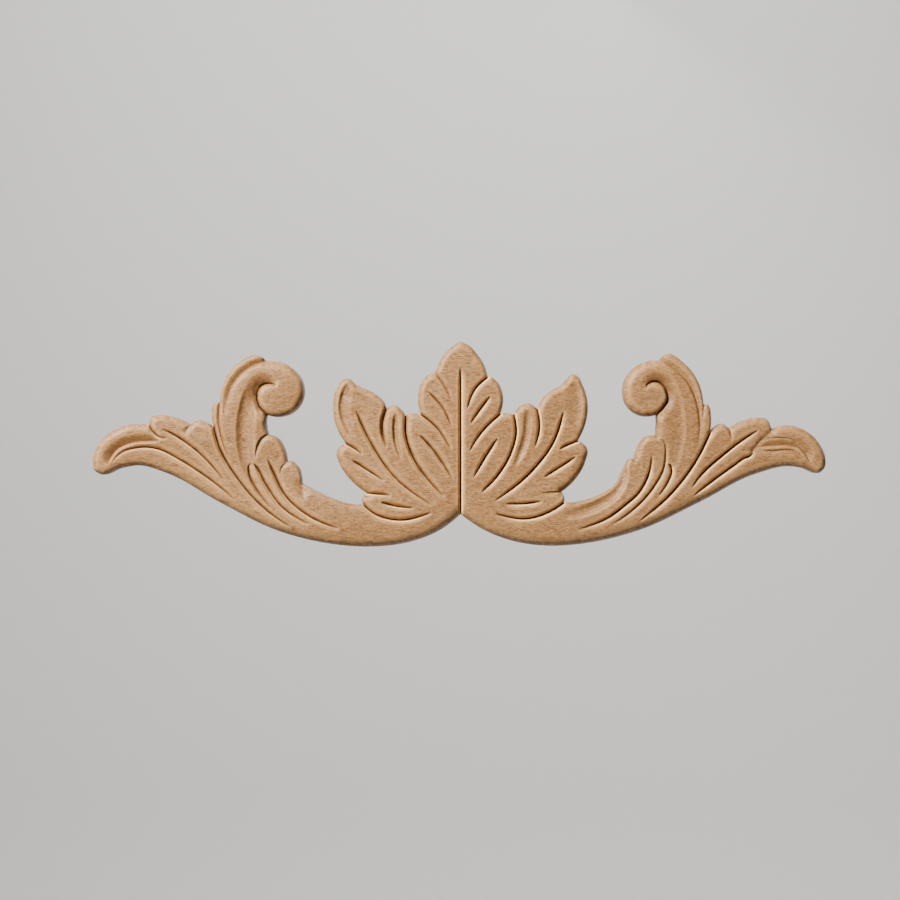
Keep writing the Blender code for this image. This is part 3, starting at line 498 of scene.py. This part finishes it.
def localRise(values, pairs, rounds):
    # each value less its own running mean over the mesh edges: above 0 on crests, below 0 in hollows
    ends = np.concatenate([pairs, pairs[:, ::-1]])
    degree = np.maximum(np.bincount(ends[:, 0], minlength=len(values)), 1)
    mean = values
    for _ in range(rounds):
        mean = np.bincount(ends[:, 0], weights=mean[ends[:, 1]], minlength=len(values)) / degree
    return values - mean


# the sawn edge, and how crests are measured for their sanded wear and painted highlight; metres
sawnEdge = {
    "rows": 4,                     # rows of faces from front to back
    "tuck": 0.00012,               # how far the edge draws in at mid thickness
    "wave": 0.00006,               # saw marks
    "waveLength": 0.004,
    "sharpAngle": 62,              # degrees
    "rise": (10, 0.0004),          # rounds of the running mean and the rise that counts as 1
    "fine": (3, 0.00010),
}


def addCarving():
    # front from the relief; edge: straight back, drawn in by (tuck + wave * sin) * sin(pi * share)
    spots, faces = frontMesh(surface["pitch"] / across)
    print("front mesh", len(spots), "points", len(faces), "triangles")
    # the relief's second value is painted shade in cuts and coves, its third painted highlight on lit
    # walls
    tall, paintedShade, pale = relief(spots)
    front = np.column_stack([spots[:, 0] * across, -tall, spots[:, 1] * up])
    ring = wallRing(faces)
    edge = front[ring]
    outward = np.roll(edge, -1, axis=0) - np.roll(edge, 1, axis=0)
    outward = np.column_stack([outward[:, 2], np.zeros(len(edge)), -outward[:, 0]])
    outward /= np.linalg.norm(outward, axis=1)[:, None]
    shares = np.arange(1, sawnEdge["rows"] + 1)[:, None, None] / sawnEdge["rows"]
    lengths = np.linalg.norm(edge - np.roll(edge, 1, axis=0), axis=1).cumsum()
    ripple = sawnEdge["wave"] * np.sin(2 * np.pi * lengths / sawnEdge["waveLength"])[:, None]
    rows = edge * (1, 0, 1) + (1 - shares) * edge * (0, 1, 0)
    rows = rows - outward * (sawnEdge["tuck"] + ripple) * np.sin(np.pi * shares)
    points = np.vstack([front, rows.reshape(-1, 3)])
    numbers = np.vstack([ring, len(front) + np.arange(rows.size // 3).reshape(sawnEdge["rows"], -1)])
    a, b = numbers[:-1], np.roll(numbers[:-1], -1, axis=1)
    c, d = np.roll(numbers[1:], -1, axis=1), numbers[1:]
    sides = np.stack([a, d, c, b], axis=-1).reshape(-1, 4)
    flat = [Vector((x, z)) for x, _, z in rows[-1].tolist()]
    _, _, fill, _, _, _ = delaunay_2d_cdt(flat, [], [list(range(len(ring)))], 1, 1e-7)
    under = [[int(numbers[-1][i]) for i in reversed(face)] for face in fill]
    mesh = bpy.data.meshes.new("carvedLeaf")
    mesh.from_pydata(points.tolist(), [], faces.tolist() + sides.tolist() + under)
    pairs = np.concatenate([faces[:, [0, 1]], faces[:, [1, 2]], faces[:, [2, 0]]])
    # painted shade in cuts and coves, painted highlight on lit walls; rise and fine find crests for
    # sanded wear and a painted highlight
    marks = {"cut": paintedShade, "wallHighlight": pale}
    for name in ("rise", "fine"):
        rounds, scale = sawnEdge[name]
        marks[name] = localRise(tall, pairs, rounds) / scale
    extra = np.zeros(len(points) - len(front))
    for name, values in marks.items():
        data = mesh.attributes.new(name, "FLOAT", "POINT").data
        data.foreach_set("value", np.concatenate([values, extra]))
    mesh.polygons.foreach_set("use_smooth", np.ones(len(mesh.polygons), bool))
    mesh.set_sharp_from_angle(angle=np.radians(sawnEdge["sharpAngle"]))
    leaf = bpy.data.objects.new("carvedLeaf", mesh)
    bpy.context.scene.collection.objects.link(leaf)
    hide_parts("leaf_applique")
    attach(leaf, "root")
    return leaf


# the wood: linear colours, and the noises and marks that lay one over another
wood = {
    "base": (0.214, 0.104, 0.0375),    # sanded face
    "pale": (0.309, 0.170, 0.070),     # lighter streaks
    "warm": (0.141, 0.054, 0.0135),    # pores, and painted shade in cuts and coves
    "wornAndSheen": (0.66, 0.38, 0.15),        # sanded crests and light specks, and a painted highlight on crests
    "wallHighlight": (0.96, 0.60, 0.27),       # painted highlight on the lit walls of cuts
    "grey": (0.148, 0.084, 0.037),     # weathered patches
    "orange": (0.268, 0.108, 0.028),   # resin streaks
    "grooveShade": (0.056, 0.028, 0.016),    # painted shade at the bottom of the cuts
    "roughness": 0.50,
    "shine": 0.28,
    # noises: cells per metre along X and across it, detail, distortion
    "noises": {
        "grain": (300, 2100, 3, 0.3),
        "patch": (110, 240, 2, 0.5),
        "streak": (77, 528, 2, 0.8),
        "broad": (14, 90, 2, 0),
        "speck": (1380, 2300, 2, 0),
        "pore": (480, 2400, 0, 0),
        "breaks": (420, 420, 1, 0),
        "facets": (170, 272, 1, 0),
        "grit": (1100, 1540, 1, 0),
    },
    # layers of colour: noise or mark, value where the tint starts and where it is full, share, tint
    "layers": (
        ("grain", 0.35, 0.70, 1.0, "pale"),
        ("patch", 0.45, 0.72, 0.25, "grey"),
        ("streak", 0.52, 0.72, 0.4, "orange"),
        ("broad", 0.45, 0.75, 0.2, "warm"),
        ("speck", 0.45, 0.70, 0.42, "warm"),
        ("speck", 0.45, 0.28, 0.3, "wornAndSheen"),
        ("pore", 0.58, 0.68, 0.75, "warm"),
        # crests: sanded wear, and a painted highlight
        ("rise", 0.3, 1.2, 0.08, "wornAndSheen"),
        ("fine", 0.25, 1.0, 0.16, "wornAndSheen"),
        # painted highlight on the lit walls of cuts
        ("wallHighlight", 0.2, 0.9, 0.95, "wallHighlight"),
        # painted shade in the cuts and in the cove round the eye
        ("cut", 0.06, 0.40, 0.5, "warm"),
    ),
    "grooveShadeLine": (0.40, 0.90, 0.95),   # start, full and share of the painted shade line in the cuts
    "grooveShadeBreaks": (0.35, 0.60),       # values of its noise where it is broken off and where it is whole
    # heights of the tool facets, the grain and the grit, metres
    "bumps": (("facets", 0.0004), ("grain", 0.00005), ("grit", 0.00009)),
}


def woodMaterial():
    # base colour mixed towards one tint after another, then bumps one over another
    material = bpy.data.materials.new("carvedWood")
    material.use_nodes = True
    nodes, links = material.node_tree.nodes, material.node_tree.links
    shader = nodes["Principled BSDF"]
    coords = nodes.new("ShaderNodeTexCoord")

    def stretched(alongX, acrossX, detail, distortion):
        mapping = nodes.new("ShaderNodeMapping")
        mapping.inputs["Scale"].default_value = (alongX, acrossX, acrossX)
        noise = nodes.new("ShaderNodeTexNoise")
        noise.inputs["Scale"].default_value = 1.0
        noise.inputs["Detail"].default_value = detail
        noise.inputs["Distortion"].default_value = distortion
        links.new(coords.outputs["Object"], mapping.inputs["Vector"])
        links.new(mapping.outputs["Vector"], noise.inputs["Vector"])
        return noise.outputs["Fac"]

    def mark(name):
        node = nodes.new("ShaderNodeAttribute")
        node.attribute_name = name
        return node.outputs["Fac"]

    def ramp(value, start, full, top=1.0):
        node = nodes.new("ShaderNodeMapRange")
        node.inputs["From Min"].default_value = start
        node.inputs["From Max"].default_value = full
        node.inputs["To Max"].default_value = top
        links.new(value, node.inputs["Value"])
        return node.outputs["Result"]

    def mix(amount, first, second):
        node = nodes.new("ShaderNodeMix")
        node.data_type = "RGBA"
        links.new(amount, node.inputs[0])
        for socket, value in ((node.inputs[6], first), (node.inputs[7], second)):
            if isinstance(value, tuple):
                socket.default_value = (*value, 1)
            else:
                links.new(value, socket)
        return node.outputs[2]

    sources = {name: stretched(*noise) for name, noise in wood["noises"].items()}
    sources |= {name: mark(name) for name in ("rise", "fine", "wallHighlight", "cut")}
    colour = wood["base"]
    for source, start, full, share, tint in wood["layers"]:
        colour = mix(ramp(sources[source], start, full, share), colour, wood[tint])
    # painted shade at the bottom of the cuts, broken up by noise
    grooveShade = nodes.new("ShaderNodeMath")
    grooveShade.operation = "MULTIPLY"
    links.new(ramp(sources["cut"], *wood["grooveShadeLine"]), grooveShade.inputs[0])
    links.new(ramp(sources["breaks"], *wood["grooveShadeBreaks"]), grooveShade.inputs[1])
    colour = mix(grooveShade.outputs[0], colour, wood["grooveShade"])
    links.new(colour, shader.inputs["Base Color"])
    shader.inputs["Roughness"].default_value = wood["roughness"]
    shader.inputs["Specular IOR Level"].default_value = wood["shine"]
    normal = None
    for source, distance in wood["bumps"]:
        bump = nodes.new("ShaderNodeBump")
        bump.inputs["Distance"].default_value = distance
        links.new(sources[source], bump.inputs["Height"])
        if normal:
            links.new(normal, bump.inputs["Normal"])
        normal = bump.outputs["Normal"]
    links.new(normal, shader.inputs["Normal"])
    return material


studio = {
    "floor": -0.9,                     # height of the floor, metres
    "front": -2.5,                     # where the floor starts, in front of the carving
    "wallAt": 1.9,                     # how far behind the backdrop stands
    "bend": 0.5,                       # radius between floor and backdrop
    "tall": 3.2,
    "half": 3.0,                       # half its width
    "colour": (0.80, 0.79, 0.77),
    "roughness": 0.9,
    "skyColour": (1.0, 0.98, 0.96),
    "sky": 0.042,
}


def addStage():
    # floor and backdrop as one sheet: flat, a quarter circle of radius bend, then upright
    turn = np.linspace(0, np.pi / 2, 24)
    bendStart = studio["wallAt"] - studio["bend"]
    y = np.concatenate([[studio["front"]], bendStart + studio["bend"] * np.sin(turn), [studio["wallAt"]]])
    z = np.concatenate([[0], studio["bend"] * (1 - np.cos(turn)), [studio["tall"]]]) + studio["floor"]
    x = np.repeat([-studio["half"], studio["half"]], len(y))
    points = np.column_stack([x, np.tile(y, 2), np.tile(z, 2)])
    first = np.arange(len(y) - 1)
    faces = np.column_stack([first, first + len(y), first + len(y) + 1, first + 1])
    mesh = bpy.data.meshes.new("backdrop")
    mesh.from_pydata(points.tolist(), [], faces.tolist())
    mesh.polygons.foreach_set("use_smooth", np.ones(len(mesh.polygons), bool))
    material = bpy.data.materials.new("backdropPaper")
    material.use_nodes = True
    shader = material.node_tree.nodes["Principled BSDF"]
    shader.inputs["Base Color"].default_value = (*studio["colour"], 1)
    shader.inputs["Roughness"].default_value = studio["roughness"]
    mesh.materials.append(material)
    sheet = bpy.data.objects.new("backdrop", mesh)
    bpy.context.scene.collection.objects.link(sheet)
    sheet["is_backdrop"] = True


# key: a narrow soft beam on the carving alone; wash: lights the backdrop; behind: lights the plain back;
# rightEnd and leftEnd: light the edges from behind, so that the front keeps its shade
lamps = {
    "key": {"at": (-0.87, -1.03, 0.87), "size": 0.25, "beam": 30.0, "watts": 430.0,
            "colour": (1.0, 0.97, 0.93)},
    "fill": {"at": (0.9, -1.5, 0.1), "size": 1.4, "watts": 2.2},
    "wash": {"at": (0, 0.45, 1.3), "to": (0, 1.9, 0), "size": 1.0, "watts": 38.0},
    "behind": {"at": (0.5, 1.6, 0.9), "size": 0.8, "watts": 8.0},
    "rightEnd": {"at": (1.3, 1.0, 0.4), "size": 0.8, "watts": 11.0},
    "leftEnd": {"at": (-1.3, 1.0, 0.4), "size": 0.8, "watts": 11.0},
}


def addLamps():
    # a lamp with a beam is a spot, any other is a square; each looks at its "to", or else at the carving
    for name, lamp in lamps.items():
        data = bpy.data.lights.new(name, "SPOT" if "beam" in lamp else "AREA")
        if "beam" in lamp:
            data.shadow_soft_size = lamp["size"] / 2
            data.spot_size = np.radians(lamp["beam"])
            data.spot_blend = 0.3
        else:
            data.size = lamp["size"]
        data.energy = lamp["watts"]
        data.color = lamp.get("colour", (1.0, 1.0, 1.0))
        light = bpy.data.objects.new(name, data)
        light.location = lamp["at"]
        aim = Vector(lamp.get("to", (0, 0, 0))) - Vector(lamp["at"])
        light.rotation_euler = aim.to_track_quat("-Z", "Y").to_euler()
        bpy.context.scene.collection.objects.link(light)
    world = bpy.data.worlds.new("studio")
    world.use_nodes = True
    sky = world.node_tree.nodes["Background"]
    sky.inputs["Color"].default_value = (*studio["skyColour"], 1)
    sky.inputs["Strength"].default_value = studio["sky"]
    bpy.context.scene.world = world


view = {
    "lens": 100,                       # millimetres, with a sensor 36 wide
    "picture": 900,                    # squares of the sheet across the picture, at the plane below
    "middle": (-10.5, -6),             # the picture's middle on the sheet, squares
    "plane": -0.0035,                  # Y where one pixel is one square, metres
}


def addCamera():
    # straight on, as far from the plane as makes one pixel one square
    data = bpy.data.cameras.new("camera")
    data.lens = view["lens"]
    camera = bpy.data.objects.new("camera", data)
    distance = view["picture"] * across * data.lens / data.sensor_width
    camera.location = (view["middle"][0] * across, view["plane"] - distance, view["middle"][1] * up)
    camera.rotation_euler = (np.pi / 2, 0, 0)
    bpy.context.scene.collection.objects.link(camera)
    bpy.context.scene.camera = camera


leaf = addCarving()
leaf.data.materials.append(woodMaterial())
print("carving made", len(leaf.data.vertices), "points", len(leaf.data.polygons), "faces")
addStage()
addLamps()
addCamera()
sizes["after"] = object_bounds()
print("stage, lamps and camera set")
